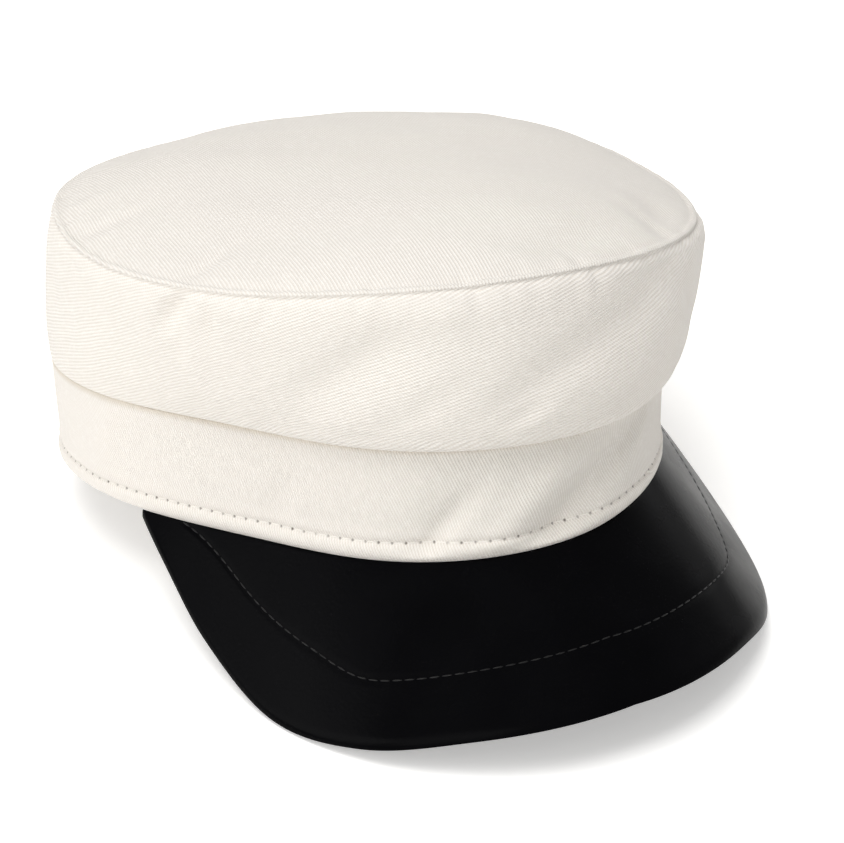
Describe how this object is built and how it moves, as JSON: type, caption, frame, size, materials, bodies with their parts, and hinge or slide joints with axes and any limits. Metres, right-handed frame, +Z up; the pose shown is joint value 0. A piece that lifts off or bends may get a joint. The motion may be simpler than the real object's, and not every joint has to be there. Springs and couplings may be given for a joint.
{
  "type": "sailor cap",
  "caption": "Soft cotton twill cap with a domed oval crown, a stitched turned-up band and a curved leather-covered peak.",
  "frame": {"origin": "middle of the bounding box, on the surface that the cap rests on", "axes": "+Z up from the surface, the peak points along -Y, +X is the wearer's left side"},
  "size_m": [0.1916, 0.2566, 0.1234],
  "materials": {
    "twill": "ecru cotton twill, matt",
    "leather": "smooth black leather, semi-gloss",
    "leather_lining": "thin black lining leather, satin"
  },
  "bodies": {
    "root": {"crown_top": "twill", "crown_side": "twill", "headband": "twill", "peak_upper": "leather", "peak_lining": "leather_lining"}
  },
  "joints": []
}
